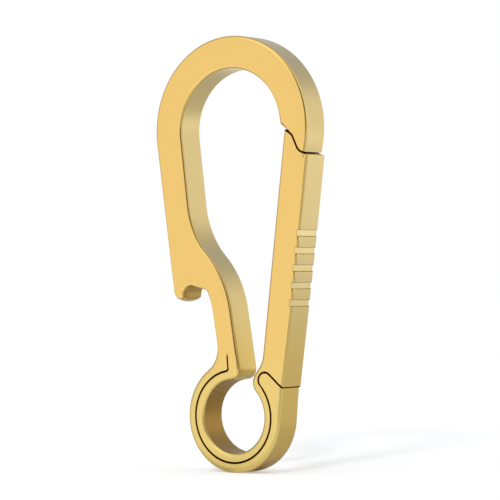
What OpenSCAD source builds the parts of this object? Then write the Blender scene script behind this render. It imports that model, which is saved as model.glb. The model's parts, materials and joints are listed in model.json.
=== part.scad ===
// One-piece plate carabiner with a spring ring, a gate and a bottle opener.
// A single plate is cut through by a fine wire. The cut leaves a rigid frame
// with its hook, a thin ring that bends as the spring, and a stiff gate.
// X runs from the back leg to the gate, Z up to the hook, Y through the plate.
// The origin is the centre of the key ring hole, half way through the plate.

/* [Plate] */
// Thickness of the plate
plate_t = 5; // [4:0.1:6]
// Width that the wire takes away
slit_w = 0.22; // [0.16:0.02:0.26]

/* [Ring end] */
// Radius of the hole for the key ring
hole_r = 5.44; // [5:0.01:5.8]
// Width of the spring ring round the hole
spring_w = 1.28; // [1.1:0.01:1.6]
// Width of the rigid band round the spring
band_w = 1.37; // [1:0.01:2]
// Angle of the stop finger round the hole, from the X axis
finger_at = 44; // [42:0.5:46]
// Radius of the stop finger's rounded tip
finger_r = 1.05; // [0.8:0.01:1.1]
// Slope of the finger's long flank below the gate
finger_slope = 40; // [35:1:45]
// Outward lean of the ring's side below the gate
stub_lean = 4.8; // [1:0.1:5]

/* [Hook bow] */
// Radius inside the bow
bow_r = 9; // [8:0.1:10]
// Width of the bow's arm
arm_w = 4.83; // [4:0.01:5.5]
// Height of the bow's centre above the hole's centre
bow_h = 42.58; // [40:0.01:46]
// Distance of the bow's centre towards the back leg
bow_shift = 0.68; // [0.2:0.01:1]

/* [Back leg and neck] */
// Lean of the back leg's outer side
leg_outer_lean = 8.2; // [7:0.1:9]
// Lean of the back leg's inner side
leg_inner_lean = 7.3; // [6:0.1:8]
// Height above the notch at which the leg's inner side starts to bend
leg_end_h = 11.73; // [10:0.01:13]
// Radius of the upper bend, where the leg turns in
upper_bend_r = 12.9; // [11.5:0.1:14]
// Radius of the lower bend, where the neck turns down
lower_bend_r = 14.6; // [13:0.1:16]
// Lean of the neck
neck_lean = 10; // [9:0.1:11]
// Distance from the hole's centre to the neck's inner side
neck_reach = 2.22; // [2:0.01:2.5]
// Width of the neck
neck_w = 3.42; // [3:0.01:4]
// Radius where the neck's outer side meets the ring
neck_fillet_r = 4.1; // [2.5:0.1:5]
// Radius where the neck's inner side turns into the hole
neck_foot_r = 1.6; // [1.2:0.1:2]

/* [Blind end of the cut] */
// Height of the blind end above the hole's centre
blind_h = 8.98; // [8.6:0.01:9.4]
// Width of metal between the blind end and the neck's inner side
root_w = 1.58; // [1.4:0.01:1.8]
// Lean of the cut at the blind end
blind_lean = 5; // [3:0.5:8]
// Radius of the turn from the blind end into the ring
turn_r = 0.45; // [0.3:0.01:0.6]

/* [Bottle opener] */
// Height of the notch above the hole's centre
notch_h = 19.55; // [19:0.05:20]
// Slope of the notch's roof
notch_slope = 12; // [8:0.5:14]
// Radius in the notch's corner
notch_r = 1.25; // [0.8:0.05:1.5]
// Width of the tooth at the roof
tooth_w = 2.15; // [1.9:0.05:2.4]
// Length of the tooth below the roof
tooth_l = 2.64; // [2.3:0.01:2.9]
// Radius of the tooth's tip
tooth_tip_r = 0.75; // [0.6:0.01:0.85]
// Lean of the tooth's inner side
tooth_lean = 3; // [0:1:8]
// Slope of the tooth's underside
tooth_under_slope = 50; // [42:1:56]
// Radius of the tooth's outer shoulder
tooth_shoulder_r = 2; // [1.2:0.1:2.6]

/* [Gate] */
// Distance from the hole's centre to the gate's inner side
gate_reach = 4.12; // [3.9:0.01:4.4]
// How far the gate's top stands in from the bow's inner side, at the latch's shoulder
gate_in = 0.67; // [0.5:0.01:0.9]
// How far the gate's top stands out past the bow, at the toe of the hook's nose
gate_proud = 0.24; // [0.1:0.01:0.5]
// Radius of the gate's heel beside the mouth of the hole
heel_r = 2; // [1.6:0.05:2.4]
// Slope of the heel's upper side
heel_slope = 53.5; // [48:0.5:58]
// Radius where the heel runs into the gate's inner side
heel_fillet_r = 3.5; // [2.5:0.1:5]

/* [Latch] */
// Gap between the gate and the hook's nose
latch_gap = 0.22; // [0.2:0.02:0.3]
// Drop of the latch's shoulder below the bow's centre
shoulder_drop = 1.13; // [0.9:0.01:1.3]
// Drop of the nose's toe below the bow's centre
toe_drop = 3.53; // [3.2:0.01:3.8]
// Width of the nose from its toe to the arm's outer side
nose_w = 1.44; // [1.3:0.02:1.7]
// Width of the latch's step from its shoulder to the toe
step_w = 1.16; // [0.9:0.02:1.4]
// Slope of the latch above its shoulder
shoulder_slope = 33; // [28:1:38]
// Slope of the nose's underside
toe_slope = 15; // [14:0.5:17]
// Radius of the latch's shoulder
shoulder_r = 1; // [0.6:0.1:1.2]
// Radius of the nose's toe
toe_r = 1.4; // [1:0.1:1.5]
// Radius of the nose's inner corner
nose_inner_r = 0.35; // [0.25:0.05:0.8]
// Radius of the nose's outer corner
nose_outer_r = 0.15; // [0.1:0.05:0.4]
// Radius of the gate's inner top corner
gate_inner_r = 0.3; // [0.3:0.05:0.7]
// Radius of the gate's outer top corner
gate_outer_r = 0.6; // [0.4:0.05:0.8]

/* [Thumb grooves] */
// Number of grooves across the gate's outer side
groove_count = 5; // [3:1:6]
// Height of each groove
groove_h = 0.9; // [0.8:0.05:1.2]
// Depth of each groove
groove_d = 0.44; // [0.4:0.02:0.7]
// Distance from one groove to the next
groove_pitch = 2.55; // [2.3:0.05:2.8]
// Height of the lowest groove above the hole's centre
groove_from = 16.9; // [15:0.1:18]

/* [Hidden] */

// How far a flat facet may stand off a true curve
curve_sag = 0.005;
// How far a cut runs past the plate
overrun = 1;
// Radius between the notch's roof and the neck
roof_r = 0.8;
brass = [0.93, 0.78, 0.45];
$fn = 96;
origin = [0, 0];

// The cut's centre line, half its width, and the radii that stand on it
half_slit = slit_w / 2;
slit_r = hole_r + spring_w + half_slit;
ring_r = slit_r + half_slit + band_w;
half_gap = latch_gap / 2;

// Unit vector at an angle, and the one to its left
function dir(a) = [cos(a), sin(a)];
function left(a) = [-sin(a), cos(a)];
function angle_of(v) = atan2(v[1], v[0]);
function cross_of(u, v) = u[0] * v[1] - u[1] * v[0];

// Points along an arc round c, from angle a to angle b
function arc(c, r, a, b) =
    let (facet = 2 * acos(1 - curve_sag / max(r, curve_sag)),
         steps = max(2, ceil(abs(b - a) / facet)))
    [for (i = [0:steps]) c + r * dir(a + (b - a) * i / steps)];

// A line is a point and a heading. A positive shift moves it to its left.
function shifted(line, shift) = [line[0] + shift * left(line[1]), line[1]];

// Where two lines cross
function line_line(m, n) =
    m[0] + dir(m[1]) * cross_of(n[0] - m[0], dir(n[1])) / cross_of(dir(m[1]), dir(n[1]));

// Where a line first (which = -1) or last (which = 1) crosses a circle
function line_circle(line, c, r, which) =
    let (to_c = c - line[0],
         off = to_c * left(line[1]))
    line[0] + dir(line[1]) * (to_c * dir(line[1]) + which * sqrt(max(0, r * r - off * off)));

// Lean of the line that passes the origin at a distance r and ends at point p
function lean_to(r, p) = acos(r / norm(p)) - angle_of(p);

// Points of the arc that rounds the corner from line m to line n by radius r
function corner(m, n, r) =
    let (turn = (n[1] - m[1] + 540) % 360 - 180,
         hand = sign(turn),
         c = line_line(shifted(m, hand * r), shifted(n, hand * r)))
    arc(c, r, m[1] - hand * 90, m[1] - hand * 90 + turn);

// Hook bow and back leg
bow_c = [-bow_shift, bow_h];
bow_outer_r = bow_r + arm_w;
leg_outer = [bow_c + bow_outer_r * dir(180 + leg_outer_lean), leg_outer_lean - 90];
leg_inner = [bow_c + bow_r * dir(180 + leg_inner_lean), leg_inner_lean - 90];

// Neck: the upper bend turns in, the lower bend turns down into a straight
neck_inner = [neck_reach * dir(neck_lean), neck_lean - 90];
neck_outer = shifted(neck_inner, -neck_w);
leg_end = line_line(leg_inner, [[0, notch_h + leg_end_h], 0]);
upper_bend_c = leg_end + upper_bend_r * left(leg_inner[1]);
lower_bend_c = line_circle(shifted(neck_inner, -lower_bend_r), upper_bend_c,
                           upper_bend_r + lower_bend_r, 1);
bend_turn = angle_of(upper_bend_c - lower_bend_c);
neck_outer_r = lower_bend_r - neck_w;

// Where the neck joins the ring, outside and inside
fillet_c = line_circle(shifted(neck_outer, -neck_fillet_r), origin, ring_r + neck_fillet_r, -1);
foot_c = line_circle(shifted(neck_inner, -neck_foot_r), origin, hole_r + neck_foot_r, -1);

// Blind end of the cut, and its turn into the ring
blind_c = [line_line(neck_inner, [[0, blind_h], 0])[0], blind_h]
          - (root_w + half_slit) / cos(neck_lean) * dir(0);
blind_cut = [blind_c, blind_lean - 90];
turn_c = line_circle(shifted(blind_cut, -turn_r), origin, slit_r + turn_r, -1);
turn_at = angle_of(turn_c);
root_edge = [blind_c + half_slit * dir(blind_lean), neck_lean];

// Stop finger: the cut runs round its tip and down its flank to the outside
finger_mid_r = finger_r + half_slit;
finger_c = (slit_r + finger_mid_r) * dir(finger_at);
flank = [finger_c + finger_mid_r * dir(90 - finger_slope), -finger_slope];
stub_side = [ring_r * dir(-stub_lean), 90 - stub_lean];

// Gate's sides, which lean so that they end at the bow, and its heel
gate_outer_lean = lean_to(ring_r, bow_c + [bow_outer_r + gate_proud, -toe_drop]);
gate_inner_lean = lean_to(gate_reach, bow_c + [bow_r + gate_in, -shoulder_drop]);
gate_outer = [ring_r * dir(-gate_outer_lean), 90 - gate_outer_lean];
gate_inner = [gate_reach * dir(-gate_inner_lean), 90 - gate_inner_lean];
heel_c = (hole_r + heel_r) * dir(finger_at);
heel_side = [heel_c + heel_r * dir(90 + heel_slope), heel_slope];

// Latch: three lines from the inside to the outside, and the gap between them
toe_p = bow_c + [bow_outer_r - nose_w, -toe_drop];
shoulder_p = bow_c + [bow_outer_r - nose_w - step_w, -shoulder_drop];
latch_inner = [shoulder_p, -shoulder_slope];
latch_step = [shoulder_p, angle_of(toe_p - shoulder_p)];
latch_outer = [toe_p, -toe_slope];
nose_c = line_circle(shifted(latch_lines(1)[2], nose_outer_r), bow_c,
                     bow_outer_r - nose_outer_r, 1);

// Bottle opener, with a tip no rounder than the tooth's width there allows
tooth_root = line_line(leg_outer, [[0, notch_h], 0]) + tooth_w * dir(0);
tooth_inner = [tooth_root, 90 - tooth_lean];
tooth_end_w = tooth_w - tooth_l * (tan(tooth_lean) + tan(leg_outer_lean));
tip_r = min(tooth_tip_r, tooth_end_w / (1 / tan(45 + tooth_lean / 2)
                                        + 1 / tan(45 + leg_outer_lean / 2)));
tip_c = line_line(shifted(tooth_inner, tip_r), [[0, notch_h - tooth_l + tip_r], 0]);
tooth_under_at = 270 - tooth_under_slope;
tooth_under = [tip_c + tip_r * dir(tooth_under_at), -tooth_under_slope];
notch_roof = [tooth_root, -notch_slope];
roof_c = line_circle(shifted(notch_roof, -roof_r), lower_bend_c, neck_outer_r - roof_r, 1);
roof_turn = angle_of(roof_c - lower_bend_c);

// Radius r, or the largest that still lets the corner from line m to line n end before p
function fit_r(m, n, p, r) =
    let (turn = abs((n[1] - m[1] + 540) % 360 - 180),
         room = (p - line_line(m, n)) * dir(n[1]))
    min(r, room / tan(turn / 2));

// One side of the cut, from the blind end to the end of the ring.
// A side of 1 is the frame's and -1 the spring's.
function slit_arc(side) = arc(origin, slit_r + side * half_slit, turn_at, 360 + finger_at);
function turn_arc(side) = arc(turn_c, turn_r - side * half_slit, blind_lean, turn_at - 180);
function finger_arc(side) =
    arc(finger_c, finger_mid_r - side * half_slit, 180 + finger_at, 90 - finger_slope);
function reversed(list) = [for (i = [len(list) - 1:-1:0]) list[i]];

// The latch's line as the hook (side 1) or the gate (side -1) has it
function latch_lines(side) =
    [for (line = [latch_inner, latch_step, latch_outer]) shifted(line, side * half_gap)];
function nose_toe_r() =
    let (lines = latch_lines(1))
    fit_r(lines[1], lines[2], nose_c, toe_r - half_gap);
function latch_path(side) =
    let (lines = latch_lines(side))
    concat(corner(lines[0], lines[1], shoulder_r + side * half_gap),
           corner(lines[1], lines[2], nose_toe_r() + (1 - side) * half_gap));

// Outline of the rigid frame, starting at the nose's outer corner
function hook_nose() =
    let (nose_at = angle_of(nose_c - bow_c))
    concat(arc(nose_c, nose_outer_r, -90 - toe_slope, nose_at),
           arc(bow_c, bow_outer_r, nose_at, 180 + leg_outer_lean));

function opener() =
    concat(corner(leg_outer, tooth_under,
                  fit_r(leg_outer, tooth_under, tooth_under[0], tooth_shoulder_r)),
           arc(tip_c, tip_r, tooth_under_at, 360 - tooth_lean),
           corner(tooth_inner, notch_roof, notch_r),
           arc(roof_c, roof_r, 90 - notch_slope, roof_turn),
           arc(lower_bend_c, neck_outer_r, roof_turn, neck_lean));

function ring_outside() =
    concat(arc(fillet_c, neck_fillet_r, neck_lean, angle_of(fillet_c) - 180),
           arc(origin, ring_r, angle_of(fillet_c), 360 - stub_lean),
           [line_line(stub_side, shifted(flank, -half_slit))]);

function frame_slit_side() =
    concat(reversed(finger_arc(1)),
           reversed(slit_arc(1)),
           reversed(turn_arc(1)),
           arc(blind_c, half_slit, 180 + blind_lean, blind_lean),
           [line_line(root_edge, neck_inner)]);

function inside_back() =
    concat(arc(lower_bend_c, lower_bend_r, neck_lean, bend_turn),
           arc(upper_bend_c, upper_bend_r, 180 + bend_turn, 180 + leg_inner_lean),
           hook_throat());

function hook_throat() =
    let (top = latch_lines(1)[0],
         c = line_circle(shifted(top, nose_inner_r), bow_c, bow_r + nose_inner_r, 1))
    concat(arc(bow_c, bow_r, 180 + leg_inner_lean, angle_of(c - bow_c)),
           arc(c, nose_inner_r, angle_of(c - bow_c) - 180, -90 - shoulder_slope));

// Outline of the gate's top, from its outer corner to its inner one
function gate_top() =
    let (lines = latch_lines(-1),
         path = latch_path(-1),
         top_line = [lines[2][0], lines[2][1] + 180],
         in_line = [lines[0][0], lines[0][1] + 180],
         down = [gate_inner[0], gate_inner[1] + 180])
    concat(corner(gate_outer, top_line, gate_outer_r),
           reversed(path),
           corner(in_line, down, fit_r(gate_inner, lines[0], path[0], gate_inner_r)));

// Turns an outline in X and Z into the plate
module plate(points) {
    rotate([90, 0, 0])
        linear_extrude(height = plate_t, center = true)
            polygon(points);
}

// Rigid frame: hook, back leg, bottle opener, neck, outer band and finger
module hook_frame() {
    color(brass)
        plate(concat(hook_nose(), opener(), ring_outside(), frame_slit_side(),
                     inside_back(), latch_path(1)));
}

// Spring ring: from the blind end of the cut, round the hole to the gate
module ring_spring() {
    color(brass)
        difference() {
            plate(concat([root_edge[0]],
                         turn_arc(-1),
                         slit_arc(-1),
                         [origin],
                         arc(foot_c, neck_foot_r, angle_of(foot_c) - 180, neck_lean),
                         [line_line(root_edge, neck_inner)]));
            rotate([90, 0, 0])
                cylinder(r = hole_r, h = plate_t + 2 * overrun, center = true);
        }
}

// Gate: heel beside the hole, long bar with thumb grooves, and latch
module gate() {
    color(brass)
        difference() {
            plate(concat([hole_r * dir(finger_at)],
                         finger_arc(-1),
                         [line_line(gate_outer, shifted(flank, half_slit))],
                         gate_top(),
                         corner([gate_inner[0], gate_inner[1] + 180],
                                [heel_side[0], heel_slope + 180], heel_fillet_r),
                         arc(heel_c, heel_r, 90 + heel_slope, 180 + finger_at)));
            for (i = [0:groove_count - 1])
                thumb_groove(groove_from + i * groove_pitch);
        }
}

// One groove across the gate's outer side, at a height above the hole's centre
module thumb_groove(height) {
    at = line_line(gate_outer, [[0, height], 0]);
    translate([at[0], 0, at[1]])
        rotate([0, gate_outer_lean, 0])
            cube([2 * groove_d, plate_t + 2 * overrun, groove_h], center = true);
}

hook_frame();
ring_spring();
gate();
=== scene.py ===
"""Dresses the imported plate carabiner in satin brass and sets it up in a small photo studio.

Each piece starts from a merged copy of its CAD node. The outer rims get the soft rounding of a
tumbled plate, and what the wire cut afterwards stays crisp.
"""

import json
import logging
import math
from collections.abc import Iterable
from dataclasses import dataclass
from enum import Enum
from functools import cache

import bmesh
import bpy
from bmesh.types import BMEdge, BMesh, BMFace, BMVert
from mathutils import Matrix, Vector
from mathutils.bvhtree import BVHTree


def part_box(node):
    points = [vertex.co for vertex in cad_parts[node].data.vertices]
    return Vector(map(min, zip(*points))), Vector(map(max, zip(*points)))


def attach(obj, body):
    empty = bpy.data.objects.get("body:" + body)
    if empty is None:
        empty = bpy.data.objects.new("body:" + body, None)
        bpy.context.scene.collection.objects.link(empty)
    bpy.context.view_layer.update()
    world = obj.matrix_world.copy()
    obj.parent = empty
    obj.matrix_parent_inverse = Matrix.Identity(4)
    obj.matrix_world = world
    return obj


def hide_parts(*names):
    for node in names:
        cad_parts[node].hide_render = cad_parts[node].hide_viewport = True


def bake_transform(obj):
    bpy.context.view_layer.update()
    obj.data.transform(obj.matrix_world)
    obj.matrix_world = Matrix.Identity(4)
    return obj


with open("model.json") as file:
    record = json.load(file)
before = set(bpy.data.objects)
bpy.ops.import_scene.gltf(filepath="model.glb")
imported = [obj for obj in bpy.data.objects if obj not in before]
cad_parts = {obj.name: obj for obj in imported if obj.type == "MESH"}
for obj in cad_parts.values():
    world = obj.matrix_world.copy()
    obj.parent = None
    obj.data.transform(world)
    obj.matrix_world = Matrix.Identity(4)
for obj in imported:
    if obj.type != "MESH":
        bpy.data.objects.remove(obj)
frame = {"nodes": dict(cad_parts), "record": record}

MM = 0.001
HALF_TURN = 180.0
log = logging.getLogger("plate_carabiner")


class Body(Enum):
    """The CAD bodies that a piece can ride on."""

    FRAME = "frame"
    GATE = "gate"


class Node(Enum):
    """The CAD nodes of the carabiner."""

    HOOK_FRAME = "hook_frame"
    RING_SPRING = "ring_spring"
    GATE = "gate"


class Surface(Enum):
    """Where a face of a piece lies, which is also its place among the piece's materials."""

    FACE = 0
    CUT_WALL = 1
    SLIT_WALL = 2
    HOLE_WALL = 3
    RIM = 4
    GROOVE = 5
    NOTCH_WALL = 6


@cache
def solid_tree(node: Node) -> BVHTree:
    """Makes a search tree of a CAD node's surface.

    Args:
        node: The CAD node.

    Returns:
        The tree, in the frame's own coordinates.
    """
    solid = bmesh.new()
    solid.from_mesh(frame["nodes"][node.value].data)
    tree = BVHTree.FromBMesh(solid)
    solid.free()
    return tree


def with_parts(faces: Iterable[BMFace]) -> list[BMFace | BMEdge | BMVert]:
    """Returns faces with their edges and vertices, each one once."""
    return list(dict.fromkeys(part for face in faces for part in (face, *face.edges, *face.verts)))


def eased(share: float) -> float:
    """Holds a share between 0 and 1, and eases it in and out."""
    share = min(1.0, max(0.0, share))
    return share * share * (3 - 2 * share)


@dataclass(frozen=True)
class SatinBrass:
    """A satin brass finish with a fine tumbled grain.

    Colours are linear. Sizes are in metres.

    Attributes:
        name: The material's name.
        colour: The clean metal.
        tarnish: The metal where it is mottled.
        painted_foot_colour: The metal at the foot, round the key ring hole, painted with the
            floor's shade and tint that the metal reflects there.
        roughness: The usual roughness.
        foot_roughness: The roughness at the foot.
        roughness_spread: How far the grain moves the usual roughness up and down.
        grain: How wide one grain is.
        grain_depth: How deep one grain is.
        grain_strength: How much of the grain's relief shows.
        grain_detail: How many finer layers the grain has.
        streaks: 1 for a round grain, less for one drawn out across the plate.
        mottle: How wide one mottled spot is.
        mottle_detail: How many finer layers the mottling has.
        foot_low: The height under which the foot's finish is full.
        foot_high: The height above which the usual finish is full.
        metallic: 1 for bare metal, 0 for the cut's near-black painted shade.
        specular: The specular level, which only the cut's painted shade changes.
    """

    name: str
    colour: tuple[float, float, float]
    tarnish: tuple[float, float, float]
    painted_foot_colour: tuple[float, float, float]
    roughness: float
    foot_roughness: float
    roughness_spread: float = 0.05
    grain: float = 0.16 * MM
    grain_depth: float = 0.006 * MM
    grain_strength: float = 0.25
    grain_detail: float = 2.0
    streaks: float = 0.35
    mottle: float = 5 * MM
    mottle_detail: float = 3.0
    foot_low: float = 4 * MM
    foot_high: float = 22 * MM
    metallic: float = 1.0
    specular: float = 0.5

    def material(self) -> bpy.types.Material:
        """Makes the procedural material.

        Returns:
            The finished material, which reads Object coordinates only.
        """
        made = bpy.data.materials.new(self.name)
        made.use_nodes = True
        tree = made.node_tree
        tree.nodes.clear()
        output = tree.nodes.new("ShaderNodeOutputMaterial")
        shader = tree.nodes.new("ShaderNodeBsdfPrincipled")
        shader.inputs["Metallic"].default_value = self.metallic
        shader.inputs["Specular IOR Level"].default_value = self.specular
        tree.links.new(shader.outputs["BSDF"], output.inputs["Surface"])

        place = tree.nodes.new("ShaderNodeTexCoord")
        stretch = tree.nodes.new("ShaderNodeMapping")
        stretch.inputs["Scale"].default_value = (1.0, self.streaks, 1.0)
        tree.links.new(place.outputs["Object"], stretch.inputs["Vector"])

        mottle = self._noise(tree, place.outputs["Object"], self.mottle, self.mottle_detail)
        tint = tree.nodes.new("ShaderNodeMix")
        tint.data_type = "RGBA"
        tint.inputs["A"].default_value = (*self.colour, 1.0)
        tint.inputs["B"].default_value = (*self.tarnish, 1.0)
        tree.links.new(mottle, tint.inputs["Factor"])
        rise = self._rise(tree, place.outputs["Object"])
        # Painted reflection and shade: towards the foot the colour turns to the foot's colour, the
        # floor's shade and tint seen in the metal.
        colour = tree.nodes.new("ShaderNodeMix")
        colour.data_type = "RGBA"
        colour.inputs["A"].default_value = (*self.painted_foot_colour, 1.0)
        tree.links.new(rise, colour.inputs["Factor"])
        tree.links.new(tint.outputs["Result"], colour.inputs["B"])
        tree.links.new(colour.outputs["Result"], shader.inputs["Base Color"])

        grain = self._noise(tree, stretch.outputs["Vector"], self.grain, self.grain_detail)
        rough = tree.nodes.new("ShaderNodeMapRange")
        rough.inputs["To Min"].default_value = self.roughness - self.roughness_spread
        rough.inputs["To Max"].default_value = self.roughness + self.roughness_spread
        tree.links.new(grain, rough.inputs["Value"])
        worn = tree.nodes.new("ShaderNodeMix")
        worn.inputs["A"].default_value = self.foot_roughness
        tree.links.new(rise, worn.inputs["Factor"])
        tree.links.new(rough.outputs["Result"], worn.inputs["B"])
        tree.links.new(worn.outputs["Result"], shader.inputs["Roughness"])

        bump = tree.nodes.new("ShaderNodeBump")
        bump.inputs["Strength"].default_value = self.grain_strength
        bump.inputs["Distance"].default_value = self.grain_depth
        tree.links.new(grain, bump.inputs["Height"])
        tree.links.new(bump.outputs["Normal"], shader.inputs["Normal"])
        return made

    def _rise(
        self, tree: bpy.types.NodeTree, vector: bpy.types.NodeSocket
    ) -> bpy.types.NodeSocket:
        """Works out how far a point is above the foot, where the colour is painted with the floor's
        reflected shade and tint, and the roughness is higher.

        Args:
            tree: The material's node tree.
            vector: The Object coordinates.

        Returns:
            0 at the foot, 1 from where the finish is the usual one.
        """
        parts = tree.nodes.new("ShaderNodeSeparateXYZ")
        tree.links.new(vector, parts.inputs["Vector"])
        rise = tree.nodes.new("ShaderNodeMapRange")
        rise.interpolation_type = "SMOOTHSTEP"
        rise.inputs["From Min"].default_value = self.foot_low
        rise.inputs["From Max"].default_value = self.foot_high
        tree.links.new(parts.outputs["Z"], rise.inputs["Value"])
        return rise.outputs["Result"]

    @staticmethod
    def _noise(
        tree: bpy.types.NodeTree, vector: bpy.types.NodeSocket, size: float, detail: float
    ) -> bpy.types.NodeSocket:
        """Adds a noise of one feature size.

        Args:
            tree: The material's node tree.
            vector: The coordinates that the noise reads.
            size: About how wide one spot is, in metres.
            detail: How many finer layers it has.

        Returns:
            The noise's value, from 0 to 1.
        """
        noise = tree.nodes.new("ShaderNodeTexNoise")
        noise.inputs["Scale"].default_value = 1.0 / size
        noise.inputs["Detail"].default_value = detail
        tree.links.new(vector, noise.inputs["Vector"])
        return noise.outputs["Fac"]


FACE_FINISH = SatinBrass(
    name="satin brass face",
    colour=(0.871, 0.585, 0.192),
    tarnish=(0.850, 0.560, 0.172),
    painted_foot_colour=(0.828, 0.620, 0.207),
    foot_roughness=0.38,
    foot_low=2 * MM,
    foot_high=11 * MM,
    roughness=0.30,
    roughness_spread=0.04,
    grain=0.12 * MM,
    grain_depth=0.004 * MM,
    streaks=1.0,
)
RIM_FINISH = SatinBrass(
    name="rubbed brass rim",
    colour=(0.871, 0.585, 0.190),
    tarnish=(0.850, 0.560, 0.172),
    painted_foot_colour=(0.805, 0.615, 0.210),
    foot_roughness=0.36,
    foot_low=2 * MM,
    foot_high=11 * MM,
    roughness=0.19,
    roughness_spread=0.03,
    grain=0.10 * MM,
    grain_depth=0.002 * MM,
    grain_strength=0.2,
    streaks=1.0,
)
WALL_FINISH = SatinBrass(
    name="satin brass cut wall",
    colour=(0.740, 0.585, 0.265),
    tarnish=(0.715, 0.550, 0.238),
    painted_foot_colour=(0.760, 0.540, 0.155),
    foot_roughness=0.36,
    roughness=0.33,
)
# Partly a milled finish and partly painted light: lighter than the other walls, to offset the shade
# in the grooves.
GROOVE_FINISH = SatinBrass(
    name="milled brass groove painted lighter",
    colour=(0.875, 0.695, 0.325),
    tarnish=(0.850, 0.665, 0.300),
    painted_foot_colour=(0.850, 0.665, 0.300),
    foot_roughness=0.26,
    roughness=0.26,
    roughness_spread=0.04,
    grain=0.14 * MM,
    grain_depth=0.004 * MM,
    streaks=0.2,
)
# Much darker than the other walls, for the key ring hole's wall only.
HOLE_FINISH = SatinBrass(
    name="darker brass in the hole",
    colour=(0.445, 0.260, 0.060),
    tarnish=(0.405, 0.233, 0.052),
    painted_foot_colour=(0.430, 0.252, 0.058),
    foot_roughness=0.46,
    roughness=0.36,
)
# Dark brown brass: painted shade on the notch's walls.
NOTCH_FINISH = SatinBrass(
    name="painted shade in the notch",
    colour=(0.560, 0.400, 0.120),
    tarnish=(0.470, 0.290, 0.070),
    painted_foot_colour=(0.470, 0.290, 0.070),
    foot_roughness=0.34,
    roughness=0.34,
    mottle=1.6 * MM,
)
# Near-black and not metallic: painted shade in the narrow cut.
SLIT_FINISH = SatinBrass(
    name="painted shade in the cut",
    metallic=0.0,
    specular=0.0,
    colour=(0.080, 0.028, 0.003),
    tarnish=(0.056, 0.020, 0.002),
    painted_foot_colour=(0.075, 0.026, 0.003),
    foot_roughness=0.60,
    roughness=0.60,
)
FINISHES = {
    Surface.FACE: FACE_FINISH,
    Surface.CUT_WALL: WALL_FINISH,
    Surface.SLIT_WALL: SLIT_FINISH,
    Surface.HOLE_WALL: HOLE_FINISH,
    Surface.RIM: RIM_FINISH,
    Surface.GROOVE: GROOVE_FINISH,
    Surface.NOTCH_WALL: NOTCH_FINISH,
}


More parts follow.
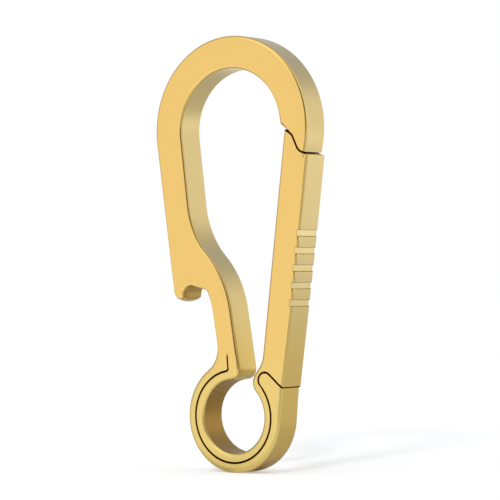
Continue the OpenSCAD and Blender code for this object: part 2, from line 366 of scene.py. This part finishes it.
@dataclass
class PlatePiece:
    """A piece of the plate, made from its CAD node with its outer rims rounded.

    Lengths are in metres and angles in radians.

    Attributes:
        node: The CAD node that the piece stands for.
        name: The piece's name.
        slot: The record's material slot. Not used.
        rim_radius: The rounding of the outer rims.
        rim_segments: How many facets that rounding has across.
        break_radius: How far a crisp edge is broken.
        break_segments: How many facets a broken edge has across.
        foot_growth: How much wider the rims' rounding is at the foot, as a share of itself.
        foot_top: The height above which the rounding has its usual width.
        foot_full: The height under which it is at its widest.
        slit_reach: How far apart two walls may be and still face each other across the cut.
        tight_radius: The radius under which an outer corner can be drawn square.
        skin: How far from a wall the look for what is in front of it starts.
        merge_distance: How close two vertices are that count as one.
        wall_lean: How far a wall's normal may lean out of the plate's plane, as a sine.
        axis_share: How much of a hole wall's normal points at the hole's axis.
        flat_angle: The bend under which two facets are one flat wall.
        sharp_angle: The bend over which an edge is crisp.
    """

    node: Node
    name: str
    slot: str = "satin_brass"
    rim_radius: float = 0.5 * MM
    rim_segments: int = 6
    break_radius: float = 0.055 * MM
    break_segments: int = 2
    foot_growth: float = 0.55
    foot_top: float = 14 * MM
    foot_full: float = 4 * MM
    slit_reach: float = 0.5 * MM
    tight_radius: float = 0.75 * MM
    skin: float = 0.02 * MM
    merge_distance: float = 0.0005 * MM
    wall_lean: float = 0.5
    axis_share: float = 0.98
    flat_angle: float = math.radians(0.4)
    sharp_angle: float = math.radians(32)

    def build(self) -> bpy.types.Object:
        """Makes the piece's mesh and object, dressed but riding on nothing yet.

        Returns:
            The object, at the origin.
        """
        mesh = bmesh.new()
        mesh.from_mesh(frame["nodes"][self.node.value].data)
        self._merge(mesh)
        half = max(vertex.co.y for vertex in mesh.verts)
        self._square_corners(mesh)
        rounded = self._sort_walls(mesh)
        rims = [edge for edge in self._rims(mesh, half) if self._wall_of(edge) in rounded]
        self._shape(mesh, half)
        walls = [face for face in mesh.faces if face in rounded]
        mesh.verts.index_update()
        sharp = BVHTree.FromPolygons(
            [vertex.co.copy() for vertex in mesh.verts],
            [[vertex.index for vertex in wall.verts] for wall in walls],
        )
        finishes = [wall.material_index for wall in walls]
        self._round(mesh, rims)
        self._soften_foot(mesh, sharp)
        for face in mesh.faces:
            if face.material_index == Surface.RIM.value and self._is_wall(face):
                nearest = self._nearest(sharp, face.calc_center_median())[1]
                face.material_index = finishes[nearest]
        self._break_edges(mesh)
        for face in mesh.faces:
            face.smooth = face.material_index != Surface.GROOVE.value
        data = bpy.data.meshes.new(self.name)
        mesh.to_mesh(data)
        mesh.free()
        made = bpy.data.objects.new(self.name, data)
        bpy.context.scene.collection.objects.link(made)
        self._dress(made)
        log.info("%s: %d faces, %d rims rounded", self.name, len(data.polygons), len(rims))
        return made

    def _merge(self, mesh: BMesh) -> None:
        """Merges the CAD node's loose triangles into flat walls and two plate faces.

        Args:
            mesh: The mesh to merge.
        """
        bmesh.ops.remove_doubles(mesh, verts=mesh.verts[:], dist=self.merge_distance)
        bmesh.ops.dissolve_limit(
            mesh,
            angle_limit=self.flat_angle,
            use_dissolve_boundaries=False,
            verts=mesh.verts[:],
            edges=mesh.edges[:],
        )
        mesh.normal_update()

    def _square_corners(self, mesh: BMesh) -> None:
        """Draws each tight outer corner beside the cut together into a square one.

        The rims then end cleanly there, as on the real plate, where the wire cut through rims
        that were already round. The piece's reach towards the gate's side stays as it was.

        Args:
            mesh: The merged mesh.
        """
        reach = max(vertex.co.x for vertex in mesh.verts)
        trees = (BVHTree.FromBMesh(mesh), *self._neighbours())
        tight = [face for face in mesh.faces if self._is_wall(face) and self._bend(face)]
        for run in self._runs(tight):
            ends = [
                other
                for face in run
                for edge in face.edges
                for other in edge.link_faces
                if self._is_wall(other) and other not in run
            ]
            facing = [wall for wall in ends if self._meets(wall, trees, self.skin, self.slit_reach)]
            if len(ends) == 2 and len(facing) == 1:
                self._draw_together(mesh, run, ends)
        for vertex in mesh.verts:
            vertex.co.x = min(vertex.co.x, reach)
        mesh.normal_update()

    def _neighbours(self) -> list[BVHTree]:
        """Returns the search trees of the other CAD nodes."""
        return [solid_tree(node) for node in Node if node is not self.node]

    def _is_wall(self, face: BMFace) -> bool:
        """Tells whether a face stands across the plate."""
        return abs(face.normal.y) < self.wall_lean

    @staticmethod
    def _meets(face: BMFace, trees: Iterable[BVHTree], start: float, reach: float) -> bool:
        """Tells whether something lies in front of a face's middle.

        Args:
            face: The face that looks out.
            trees: The search trees of what may lie there.
            start: How far in front of the face the look starts, in metres.
            reach: How far it goes from there, in metres.

        Returns:
            Whether the look meets something.
        """
        origin = face.calc_center_median() + face.normal * start
        return any(tree.ray_cast(origin, face.normal, reach)[0] is not None for tree in trees)

    def _bend(self, face: BMFace) -> bool:
        """Tells whether a wall is one facet of a tight outer corner.

        Args:
            face: The wall.

        Returns:
            Whether it bends outwards at both of its ends, with less than the tight radius.
        """
        across = [edge for edge in face.edges if self._stands(edge) and edge.is_convex]
        if len(across) < 2:
            return False
        width = across[0].verts[0].co - across[1].verts[0].co
        width.y = 0.0
        turn = max(edge.calc_face_angle() for edge in across)
        return turn > self.flat_angle and width.length / turn < self.tight_radius

    def _stands(self, edge: BMEdge) -> bool:
        """Tells whether an edge runs straight across the plate."""
        along = edge.verts[0].co - edge.verts[1].co
        return abs(along.y) > math.cos(self.sharp_angle) * along.length

    @staticmethod
    def _runs(faces: list[BMFace]) -> list[list[BMFace]]:
        """Sorts faces into runs that hang together.

        Args:
            faces: The faces, of one or more runs.

        Returns:
            The runs.
        """
        left = dict.fromkeys(faces)
        runs: list[list[BMFace]] = []
        while left:
            run = [left.popitem()[0]]
            for face in run:
                beside = dict.fromkeys(other for edge in face.edges for other in edge.link_faces)
                fresh = [other for other in beside if other in left]
                for other in fresh:
                    del left[other]
                run.extend(fresh)
            runs.append(run)
        return runs

    @staticmethod
    def _draw_together(mesh: BMesh, run: list[BMFace], ends: list[BMFace]) -> None:
        """Draws the facets of one corner together into the edge where its two walls meet.

        Args:
            mesh: The merged mesh.
            run: The corner's facets.
            ends: The walls on both sides of the corner.
        """
        start, end = (wall.normal.xz for wall in ends)
        reach = [wall.normal.xz.dot(wall.calc_center_median().xz) for wall in ends]
        cross = start.x * end.y - start.y * end.x
        place = Vector(
            (
                (reach[0] * end.y - reach[1] * start.y) / cross,
                0.0,
                (start.x * reach[1] - end.x * reach[0]) / cross,
            )
        )
        verts = dict.fromkeys(vertex for face in run for vertex in face.verts)
        back = [vertex for vertex in verts if vertex.co.y > 0.0]
        front = [vertex for vertex in verts if vertex.co.y <= 0.0]
        for group in (back, front):
            corner = Vector((place.x, group[0].co.y, place.z))
            bmesh.ops.pointmerge(mesh, verts=group, merge_co=corner)

    def _rims(self, mesh: BMesh, half: float) -> list[BMEdge]:
        """Finds the edges between a plate face and a wall.

        Args:
            mesh: The merged mesh.
            half: Half of the plate's thickness, in metres.

        Returns:
            The rim edges.
        """
        return [
            edge
            for edge in mesh.edges
            if all(abs(abs(vertex.co.y) - half) < self.merge_distance for vertex in edge.verts)
            and edge.verts[0].co.y * edge.verts[1].co.y > 0.0
            and len(edge.link_faces) == 2
            and edge.calc_face_angle() > self.sharp_angle
        ]

    @staticmethod
    def _wall_of(edge: BMEdge) -> BMFace:
        """Returns the wall at a rim, which is its face that stands across the plate."""
        return min(edge.link_faces, key=lambda face: abs(face.normal.y))

    def _sort_walls(self, mesh: BMesh) -> set[BMFace]:
        """Gives each wall its finish, and finds the walls whose rims are rounded.

        A wall that faces another across the wire's cut stays crisp, and so does a seam, where
        this piece runs on into the next one.

        Args:
            mesh: The merged mesh.

        Returns:
            The walls with rounded rims.
        """
        own = BVHTree.FromBMesh(mesh)
        others = self._neighbours()
        rounded: set[BMFace] = set()
        for face in mesh.faces:
            if not self._is_wall(face):
                face.material_index = Surface.FACE.value
                continue
            seam = self._meets(face, others, -self.skin, 2 * self.skin)
            near = self._meets(face, (own, *others), self.skin, self.slit_reach)
            if near and not seam:
                # The walls facing each other across the cut take the near-black finish, painted
                # shade in the cut.
                face.material_index = Surface.SLIT_WALL.value
            elif self._in_hole(face):
                face.material_index = Surface.HOLE_WALL.value
            else:
                face.material_index = Surface.CUT_WALL.value
            if not near and not seam:
                rounded.add(face)
        return rounded

    def _in_hole(self, face: BMFace) -> bool:
        """Tells whether a wall belongs to the key ring hole, whose axis is the origin's.

        Args:
            face: The wall.

        Returns:
            Whether it faces the axis and lies at the hole's radius.
        """
        bore = next(mount for mount in frame["record"]["mounts"] if mount["kind"] == "bore")
        middle = face.calc_center_median()
        reach = math.hypot(middle.x, middle.z)
        outward = Vector((middle.x, 0.0, middle.z)) / reach
        faces_axis = face.normal.dot(outward) < -self.axis_share
        return faces_axis and abs(reach - bore["dims"]["r_mm"] * MM) < self.skin

    def _shape(self, mesh: BMesh, half: float) -> None:
        """Shapes what only this piece has. The plain piece has nothing more.

        Args:
            mesh: The merged mesh.
            half: Half of the plate's thickness, in metres.
        """

    def _round(self, mesh: BMesh, rims: list[BMEdge]) -> None:
        """Rounds rims with the plate's soft edge.

        Args:
            mesh: The merged mesh.
            rims: The edges to round.
        """
        left = [edge for edge in rims if edge.is_valid]
        for face in self._bevel(mesh, left, self.rim_radius, self.rim_segments):
            face.material_index = Surface.RIM.value
        mesh.normal_update()

    @staticmethod
    def _bevel(mesh: BMesh, edges: list[BMEdge], radius: float, segments: int) -> list[BMFace]:
        """Rounds edges.

        Args:
            mesh: The mesh.
            edges: The edges to round.
            radius: How far the rounding reaches from an edge, in metres.
            segments: How many facets it has across.

        Returns:
            The new faces.
        """
        made = bmesh.ops.bevel(
            mesh,
            geom=edges,
            offset=radius,
            offset_type="OFFSET",
            affect="EDGES",
            segments=segments,
            profile=0.5,
            material=-1,
            clamp_overlap=False,
        )
        return made["faces"]

    def _soften_foot(self, mesh: BMesh, sharp: BVHTree) -> None:
        """Widens the rims' rounding towards the ring, which keys and pockets rub most.

        Args:
            mesh: The mesh with its rims rounded.
            sharp: The walls before the rounding.
        """
        rounded = [face for face in mesh.faces if face.material_index == Surface.RIM.value]
        for vertex in {vertex for face in rounded for vertex in face.verts}:
            low = (self.foot_top - vertex.co.z) / (self.foot_top - self.foot_full)
            growth = self.foot_growth * eased(low)
            wall = self._nearest(sharp, vertex.co)[0]
            inset = Vector((vertex.co.x - wall.x, 0.0, vertex.co.z - wall.z))
            cuts = [
                face.normal
                for face in vertex.link_faces
                if face.material_index == Surface.SLIT_WALL.value
            ]
            shift = inset * growth
            if cuts and inset.length > self.merge_distance:
                along = cuts[0].cross(Vector((0.0, 1.0, 0.0))).normalized()
                shift = along * inset.length * growth / along.dot(inset.normalized())
            vertex.co += shift
        mesh.normal_update()

    def _nearest(self, sharp: BVHTree, place: Vector) -> tuple[Vector, int]:
        """Finds the wall that is nearest to a place, or the first of several as near.

        A place between two facets is as near to both, so without this the last digits choose.

        Args:
            sharp: The walls before the rounding.
            place: The place.

        Returns:
            The wall's point nearest to the place, and the wall's number.
        """
        depth = sharp.find_nearest(place)[3]
        near = sharp.find_nearest_range(place, depth + self.merge_distance)
        point, _, number, _ = min(near, key=lambda found: found[2])
        return point, number

    def _break_edges(self, mesh: BMesh) -> None:
        """Breaks the crisp edges by a hair, and gives those beside the cut and in grooves the cut's
        near-black finish, as painted shade lines.

        The edges on a seam, at the cut's exits and inside a groove stay as they are.

        Args:
            mesh: The rounded mesh.
        """
        others = self._neighbours()
        crisp = [
            edge
            for edge in mesh.edges
            if len(edge.link_faces) == 2
            and edge.is_convex
            and edge.calc_face_angle() > self.sharp_angle
            and not self._leaves_cut(edge)
            and any(face.material_index != Surface.GROOVE.value for face in edge.link_faces)
            and not any(
                tree.find_nearest(vertex.co, 2 * self.break_radius)[0]
                for tree in others
                for vertex in edge.verts
            )
        ]
        for face in self._bevel(mesh, crisp, self.break_radius, self.break_segments):
            beside = {other.material_index for edge in face.edges for other in edge.link_faces}
            # Painted shade: strips beside the cut or a groove take the cut's near-black finish.
            dark = beside & {Surface.SLIT_WALL.value, Surface.GROOVE.value}
            face.material_index = Surface.SLIT_WALL.value if dark else Surface.RIM.value
        mesh.normal_update()

    def _leaves_cut(self, edge: BMEdge) -> bool:
        """Tells whether an edge runs across the plate where a cut comes out of it."""
        cut = any(face.material_index == Surface.SLIT_WALL.value for face in edge.link_faces)
        return cut and self._stands(edge)

    def _dress(self, made: bpy.types.Object) -> None:
        """Gives the piece its finishes and even shading.

        Args:
            made: The piece's object.
        """
        made.data.set_sharp_from_angle(angle=self.sharp_angle)
        for surface in Surface:
            finish = FINISHES[surface]
            known = bpy.data.materials.get(finish.name)
            made.data.materials.append(known or finish.material())
        weighted = made.modifiers.new("even shading", "WEIGHTED_NORMAL")
        weighted.mode = "FACE_AREA"
        weighted.keep_sharp = True


@dataclass
class HookFrame(PlatePiece):
    """The stiff frame: bow, back leg, opener tooth, neck and band.

    Attributes:
        crown_radius: The radius of the tooth's crown across the plate.
        crown_cuts: How many cuts along the tooth's walls give them that crown.
        tooth_length: How far the tooth hangs below the notch's roof.
        tooth_inset: How far beside the middle of the roof the tooth starts.
        notch_width: How far the walls with the notch's painted shade reach from the middle of the
            roof.
        notch_faces: The direction in which the walls with that painted shade face.
        notch_spread: How far they may turn away from it.
    """

    node: Node = Node.HOOK_FRAME
    name: str = "hook_frame_plate"
    crown_radius: float = 6.5 * MM
    crown_cuts: int = 9
    tooth_length: float = 2.64 * MM
    tooth_inset: float = 0.6 * MM
    notch_width: float = 3.0 * MM
    notch_faces: tuple[float, float, float] = (0.75, 0.0, -0.66)
    notch_spread: float = math.radians(53)

    def place(self) -> bpy.types.Object:
        """Builds the frame and lets it ride on its body.

        Returns:
            The piece.
        """
        made = self.build()
        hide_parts(self.node.value)
        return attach(made, Body.FRAME.value)

    def _shape(self, mesh: BMesh, half: float) -> None:
        """Crowns the opener tooth across its thickness, so that its tip is round both ways.

        Args:
            mesh: The merged mesh.
            half: Half of the plate's thickness, in metres.
        """
        root = self._notch()
        tooth = [
            face
            for face in mesh.faces
            if self._is_wall(face)
            and face.calc_center_median().x < root.x - self.tooth_inset
            and root.z - 2 * self.tooth_length < face.calc_center_median().z < root.z
        ]
        for cut in range(1, self.crown_cuts + 1):
            height = half * (2 * cut / (self.crown_cuts + 1) - 1)
            made = bmesh.ops.bisect_plane(
                mesh,
                geom=with_parts(face for face in tooth if face.is_valid),
                dist=self.merge_distance,
                plane_co=Vector((0.0, height, 0.0)),
                plane_no=Vector((0.0, 1.0, 0.0)),
            )
            tooth = [part for part in made["geom"] if isinstance(part, BMFace)]
        for vertex in {vertex for face in tooth for vertex in face.verts}:
            share = eased((root.z - vertex.co.z) / self.tooth_length)
            vertex.co.z += share * vertex.co.y**2 / (2 * self.crown_radius)
        mesh.normal_update()

    def _sort_walls(self, mesh: BMesh) -> set[BMFace]:
        """Gives the notch's walls a darker finish of their own, painted shade in the notch.

        Args:
            mesh: The merged mesh.

        Returns:
            The walls with rounded rims.
        """
        rounded = super()._sort_walls(mesh)
        root = self._notch()
        for face in rounded:
            middle = face.calc_center_median()
            across = Vector((middle.x - root.x, middle.z - root.z))
            turned = face.normal.angle(Vector(self.notch_faces))
            if across.length < self.notch_width and turned < self.notch_spread:
                # Painted shade: these walls take the notch's darker finish.
                face.material_index = Surface.NOTCH_WALL.value
        return rounded

    @staticmethod
    def _notch() -> Vector:
        """Returns the middle of the notch's roof, from the record's mount."""
        mounts = frame["record"]["mounts"]
        return Vector(next(mount["pos_m"] for mount in mounts if mount["name"] == "opener_notch"))


@dataclass
class RingSpring(PlatePiece):
    """The C-shaped spring band, which bends as the gate opens.

    Attributes:
        turn: The direction through the hole's axis in which the bending passes on to the gate. Not
            used.
        root: The place in that direction where the spring still stays with the frame. Not used.
        tip: The place where it moves as the gate does. Not used.
    """

    node: Node = Node.RING_SPRING
    name: str = "ring_spring_band"
    turn: float = math.radians(-30)
    root: float = -2.3 * MM
    tip: float = 1.45 * MM

    def place(self) -> bpy.types.Object:
        """Builds the spring and bakes its place into its mesh.

        Returns:
            The piece.
        """
        made = self.build()
        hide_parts(self.node.value)
        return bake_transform(made)


@dataclass
class Gate(PlatePiece):
    """The gate: heel, bar with thumb grooves, and latch.

    Attributes:
        groove_height: The height over which a groove's walls face each other.
        cut_shade_height: The height of the strip, painted near-black as shade, where the cut comes
            out.
    """

    node: Node = Node.GATE
    name: str = "gate_bar"
    groove_height: float = 1.1 * MM
    cut_shade_height: float = 0.13 * MM

    def place(self) -> bpy.types.Object:
        """Builds the gate and lets it ride on its body.

        Returns:
            The piece.
        """
        made = self.build()
        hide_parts(self.node.value)
        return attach(made, Body.GATE.value)

    def _break_edges(self, mesh: BMesh) -> None:
        """Paints a hair of the outer side near-black where the cut comes out, painted shade that
        widens the cut's dark line, and breaks crisp edges.

        Args:
            mesh: The rounded mesh.
        """
        super()._break_edges(mesh)
        exits = [edge.verts[0].co for edge in mesh.edges if self._leaves_cut(edge)]
        low = [place for place in exits if place.z < self.foot_top and place.x > 0.0]
        bottom = max(low, key=lambda place: place.x).z
        top = bottom + self.cut_shade_height
        beside = [
            face
            for face in mesh.faces
            if face.material_index in (Surface.CUT_WALL.value, Surface.RIM.value)
            and face.normal.x > 0.0
            and min(vertex.co.z for vertex in face.verts) < top + self.cut_shade_height
        ]
        made = bmesh.ops.bisect_plane(
            mesh,
            geom=with_parts(beside),
            dist=self.merge_distance,
            plane_co=Vector((0.0, 0.0, top)),
            plane_no=Vector((0.0, 0.0, 1.0)),
        )
        for part in made["geom"]:
            # Painted shade: the strip just above the cut's exit takes the cut's near-black finish.
            if isinstance(part, BMFace) and part.calc_center_median().z < top:
                part.material_index = Surface.SLIT_WALL.value

    def _sort_walls(self, mesh: BMesh) -> set[BMFace]:
        """Adds the walls of the thumb grooves to those whose rims stay crisp.

        Args:
            mesh: The merged mesh.

        Returns:
            The walls with rounded rims.
        """
        rounded = super()._sort_walls(mesh)
        own = BVHTree.FromBMesh(mesh)
        sides = {
            face for face in rounded if self._meets(face, (own,), self.skin, self.groove_height)
        }
        floors = {
            face
            for face in rounded - sides
            if sum(other in sides for edge in face.edges for other in edge.link_faces) > 1
            and all(
                edge.calc_length() < self.groove_height or not edge.is_convex
                for edge in face.edges
            )
        }
        for face in sides | floors:
            face.material_index = Surface.GROOVE.value
        return rounded - sides - floors


@dataclass(frozen=True)
class LightZone:
    """A soft patch of the studio, seen in reflections. Angles are in degrees.

    The azimuth is 0 in front of the plate and turns towards the gate's side.
    """

    azimuth: float
    half_width: float
    elevation: float
    half_height: float
    softness: float
    light: tuple[float, float, float]


@dataclass(frozen=True)
class FloorPatch:
    """A soft patch of the floor that glows for reflections only, painted light that shows lighter
    in the metal.

    Angles are in degrees, as in a light zone. The patch fades in from one reach to the other,
    which are distances from the carabiner in metres.
    """

    azimuth: float
    half_width: float
    softness: float
    faint_at: float
    full_at: float
    light: float


@dataclass
class Studio:
    """Floor, backdrop, lamp and camera.

    Lengths are in metres and angles in radians, where nothing else is said.

    Attributes:
        floor_size: The length of the floor's sides.
        floor_colour: The paper.
        floor_lift: What lifts the paper to white for the camera.
        patches: What lifts it in the metal.
        ambient: The light from where there is no zone.
        zones: The studio's zones. A later one covers those before it.
        sun_strength: The strength of the lamp that throws the shadow.
        sun_spread: The width of that lamp, seen from the floor.
        sun_travel: The direction in which its light goes.
        lens: The camera's focal length, in millimetres.
        sensor: The width of its sensor, in millimetres.
        camera_turn: How far it stands to the right of the plate's normal.
        camera_rise: How far it looks upwards.
        camera_distance: How far it stands from its aim.
        aim: The point that it looks at.
        clip_start: How close to itself it starts to see.
    """

    floor_size: float = 4.0
    floor_colour: tuple[float, float, float] = (0.66, 0.66, 0.655)
    floor_lift: float = 0.40
    # Painted light: glows of the floor that only reflections see; close behind the carabiner they
    # stay dim, a painted shadow.
    patches: tuple[FloorPatch, ...] = (
        FloorPatch(-28, 44, 18, 6 * MM, 30 * MM, 0.45),  # in front, on the back leg's side
        FloorPatch(40, 45, 30, 80 * MM, 40 * MM, 0.20),  # in front, close to the gate
        FloorPatch(180, 80, 30, 110 * MM, 330 * MM, 0.56),  # behind, past the dim place
    )
    ambient: tuple[float, float, float] = (0.55, 0.56, 0.58)
    zones: tuple[LightZone, ...] = (
        LightZone(30, 110, 90, 45, 25, (0.95, 0.95, 0.95)),  # ceiling
        LightZone(172, 54, 4, 24, 18, (1.00, 1.00, 1.00)),  # wall behind
        LightZone(193, 30, 36, 12, 24, (0.48, 0.54, 0.72)),  # cool strip over that wall
        LightZone(-105, 45, 0, 40, 20, (0.56, 0.62, 0.76)),  # cool wall on the back leg's side
        LightZone(-22, 36, 5, 60, 16, (1.04, 1.04, 1.02)),  # wall in front
        LightZone(-8, 26, 46, 12, 14, (1.55, 1.55, 1.50)),  # bright window high in front
        LightZone(46, 15, 10, 70, 12, (0.10, 0.10, 0.11)),  # dark strip beside the camera
        LightZone(98, 22, 5, 45, 16, (1.15, 1.15, 1.12)),  # window on the gate's side
    )
    sun_strength: float = 1.1
    sun_spread: float = math.radians(10)
    sun_travel: tuple[float, float, float] = (-0.24, 0.957, -0.647)
    lens: float = 180.0
    sensor: float = 36.0
    camera_turn: float = 0.62122353
    camera_rise: float = 0.00246395
    camera_distance: float = 367.79442 * MM
    aim: tuple[float, float, float] = (3.10977402 * MM, -2.5 * MM, 24.6579977 * MM)
    clip_start: float = 10 * MM

    def build(self) -> None:
        """Sets up the whole studio."""
        self._floor()
        self._world()
        self._sun()
        self._camera()
        bpy.context.scene.view_settings.view_transform = "Standard"

    def _floor(self) -> None:
        """Lays a pale floor under the ring."""
        lowest = min(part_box(node.value)[0].z for node in Node)
        mesh = bmesh.new()
        bmesh.ops.create_grid(mesh, x_segments=1, y_segments=1, size=self.floor_size / 2)
        bmesh.ops.translate(mesh, verts=mesh.verts[:], vec=Vector((0.0, 0.0, lowest)))
        data = bpy.data.meshes.new("studio_floor")
        mesh.to_mesh(data)
        mesh.free()
        floor = bpy.data.objects.new("studio_floor", data)
        bpy.context.scene.collection.objects.link(floor)
        data.materials.append(self._floor_material())

    def _floor_material(self) -> bpy.types.Material:
        """Makes the floor's paper, lifted to white for the camera but with its shadow kept.

        The metal sees the paper lifted too by a painted glow that only reflections see, in front
        and far off, and dimmer close behind the carabiner, a painted shadow of it in the metal.

        Returns:
            The floor's material.
        """
        made = bpy.data.materials.new("pale paper")
        made.use_nodes = True
        tree = made.node_tree
        tree.nodes.clear()
        output = tree.nodes.new("ShaderNodeOutputMaterial")
        paper = tree.nodes.new("ShaderNodeBsdfDiffuse")
        paper.inputs["Color"].default_value = (*self.floor_colour, 1.0)
        place = tree.nodes.new("ShaderNodeTexCoord")
        parts = tree.nodes.new("ShaderNodeSeparateXYZ")
        tree.links.new(place.outputs["Object"], parts.inputs["Vector"])
        azimuth = self._azimuth(tree, parts)
        reach = tree.nodes.new("ShaderNodeVectorMath")
        reach.operation = "LENGTH"
        tree.links.new(place.outputs["Object"], reach.inputs[0])
        lit: bpy.types.NodeSocket | float = 0.0
        for patch in self.patches:
            side = self._window(tree, azimuth, patch.azimuth, patch.half_width, patch.softness)
            depth = tree.nodes.new("ShaderNodeMapRange")
            depth.interpolation_type = "SMOOTHSTEP"
            depth.inputs["From Min"].default_value = patch.faint_at
            depth.inputs["From Max"].default_value = patch.full_at
            depth.inputs["To Max"].default_value = patch.light
            tree.links.new(reach.outputs["Value"], depth.inputs["Value"])
            lit = self._math(tree, "MULTIPLY_ADD", side, depth.outputs["Result"], lit)
        path = tree.nodes.new("ShaderNodeLightPath")
        seen = self._math(tree, "MULTIPLY", path.outputs["Is Camera Ray"], self.floor_lift)
        mirrored = self._math(tree, "MULTIPLY", path.outputs["Is Glossy Ray"], lit)
        glow = tree.nodes.new("ShaderNodeEmission")
        lift = self._math(tree, "ADD", seen, mirrored)
        tree.links.new(lift, glow.inputs["Strength"])
        both = tree.nodes.new("ShaderNodeAddShader")
        tree.links.new(paper.outputs["BSDF"], both.inputs[0])
        tree.links.new(glow.outputs["Emission"], both.inputs[1])
        tree.links.new(both.outputs["Shader"], output.inputs["Surface"])
        return made

    def _world(self) -> None:
        """Makes a white backdrop for the camera, and soft studio zones for all other rays."""
        world = bpy.data.worlds.new("studio")
        bpy.context.scene.world = world
        world.use_nodes = True
        tree = world.node_tree
        tree.nodes.clear()
        output = tree.nodes.new("ShaderNodeOutputWorld")
        glow = tree.nodes.new("ShaderNodeBackground")
        tree.links.new(glow.outputs["Background"], output.inputs["Surface"])
        azimuth, elevation = self._directions(tree)
        light: bpy.types.NodeSocket | None = None
        for zone in self.zones:
            mask = self._math(
                tree,
                "MULTIPLY",
                self._window(tree, azimuth, zone.azimuth, zone.half_width, zone.softness),
                self._window(tree, elevation, zone.elevation, zone.half_height, zone.softness),
            )
            mix = tree.nodes.new("ShaderNodeMix")
            mix.data_type = "RGBA"
            mix.inputs["A"].default_value = (*self.ambient, 1.0)
            mix.inputs["B"].default_value = (*zone.light, 1.0)
            if light is not None:
                tree.links.new(light, mix.inputs["A"])
            tree.links.new(mask, mix.inputs["Factor"])
            light = mix.outputs["Result"]
        path = tree.nodes.new("ShaderNodeLightPath")
        seen = tree.nodes.new("ShaderNodeMix")
        seen.data_type = "RGBA"
        seen.inputs["B"].default_value = (1.0, 1.0, 1.0, 1.0)
        tree.links.new(path.outputs["Is Camera Ray"], seen.inputs["Factor"])
        tree.links.new(light, seen.inputs["A"])
        tree.links.new(seen.outputs["Result"], glow.inputs["Color"])

    def _directions(
        self, tree: bpy.types.NodeTree
    ) -> tuple[bpy.types.NodeSocket, bpy.types.NodeSocket]:
        """Works out the azimuth and elevation of a direction in the world.

        Args:
            tree: The world's node tree.

        Returns:
            The azimuth and the elevation, in degrees.
        """
        place = tree.nodes.new("ShaderNodeTexCoord")
        parts = tree.nodes.new("ShaderNodeSeparateXYZ")
        tree.links.new(place.outputs["Generated"], parts.inputs["Vector"])
        rise = self._math(tree, "ARCSINE", parts.outputs["Z"])
        return self._azimuth(tree, parts), self._math(tree, "DEGREES", rise)

    def _azimuth(self, tree: bpy.types.NodeTree, parts: bpy.types.Node) -> bpy.types.NodeSocket:
        """Works out the azimuth of a point or direction.

        Args:
            tree: The node tree.
            parts: The node that separates its X, Y and Z.

        Returns:
            The azimuth in degrees, 0 in front of the plate.
        """
        front = self._math(tree, "MULTIPLY", parts.outputs["Y"], -1.0)
        turn = self._math(tree, "ARCTAN2", parts.outputs["X"], front)
        return self._math(tree, "DEGREES", turn)

    def _window(
        self,
        tree: bpy.types.NodeTree,
        angle: bpy.types.NodeSocket,
        middle: float,
        half: float,
        soft: float,
    ) -> bpy.types.NodeSocket:
        """Adds a soft window on an angle.

        Args:
            tree: The node tree.
            angle: The angle, in degrees.
            middle: The window's middle, in degrees.
            half: Half of the window's width, in degrees.
            soft: How wide its soft border is, in degrees.

        Returns:
            1 inside the window, 0 outside.
        """
        off = self._math(tree, "SUBTRACT", angle, middle)
        wrapped = self._math(tree, "WRAP", off, HALF_TURN, -HALF_TURN)
        size = self._math(tree, "ABSOLUTE", wrapped)
        fade = tree.nodes.new("ShaderNodeMapRange")
        fade.interpolation_type = "SMOOTHSTEP"
        fade.inputs["From Min"].default_value = half + soft / 2
        fade.inputs["From Max"].default_value = half - soft / 2
        tree.links.new(size, fade.inputs["Value"])
        return fade.outputs["Result"]

    @staticmethod
    def _math(
        tree: bpy.types.NodeTree, operation: str, *values: bpy.types.NodeSocket | float
    ) -> bpy.types.NodeSocket:
        """Adds a Math node.

        Args:
            tree: The node tree.
            operation: The node's operation.
            values: Sockets or plain numbers, in the order of the node's inputs.

        Returns:
            The node's value.
        """
        node = tree.nodes.new("ShaderNodeMath")
        node.operation = operation
        for place, value in enumerate(values):
            if isinstance(value, (int, float)):
                node.inputs[place].default_value = float(value)
            else:
                tree.links.new(value, node.inputs[place])
        return node.outputs["Value"]

    def _sun(self) -> None:
        """Hangs the lamp that throws the faint hoop of shadow, but no glint on the metal."""
        lamp = bpy.data.lights.new("window_light", "SUN")
        lamp.energy = self.sun_strength
        lamp.angle = self.sun_spread
        made = bpy.data.objects.new("window_light", lamp)
        bpy.context.scene.collection.objects.link(made)
        made.rotation_mode = "QUATERNION"
        made.rotation_quaternion = Vector(self.sun_travel).to_track_quat("-Z", "Y")
        made.visible_glossy = False

    def _camera(self) -> None:
        """Puts the camera where the photograph was taken from."""
        level = math.cos(self.camera_rise)
        look = Vector(
            (
                -math.sin(self.camera_turn) * level,
                math.cos(self.camera_turn) * level,
                math.sin(self.camera_rise),
            )
        )
        data = bpy.data.cameras.new("photo_camera")
        data.lens = self.lens
        data.sensor_width = self.sensor
        data.clip_start = self.clip_start
        data.clip_end = 2 * self.floor_size
        made = bpy.data.objects.new("photo_camera", data)
        bpy.context.scene.collection.objects.link(made)
        made.location = Vector(self.aim) - look * self.camera_distance
        made.rotation_mode = "QUATERNION"
        made.rotation_quaternion = look.to_track_quat("-Z", "Y")
        bpy.context.scene.camera = made


def main() -> None:
    """Builds the carabiner's pieces, then the studio."""
    logging.basicConfig(level=logging.INFO, format="%(name)s: %(message)s")
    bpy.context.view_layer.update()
    for piece in (HookFrame(), RingSpring(), Gate()):
        made = piece.place()
        log.info("%s placed", made.name)
    Studio().build()


if __name__ == "__main__":
    main()
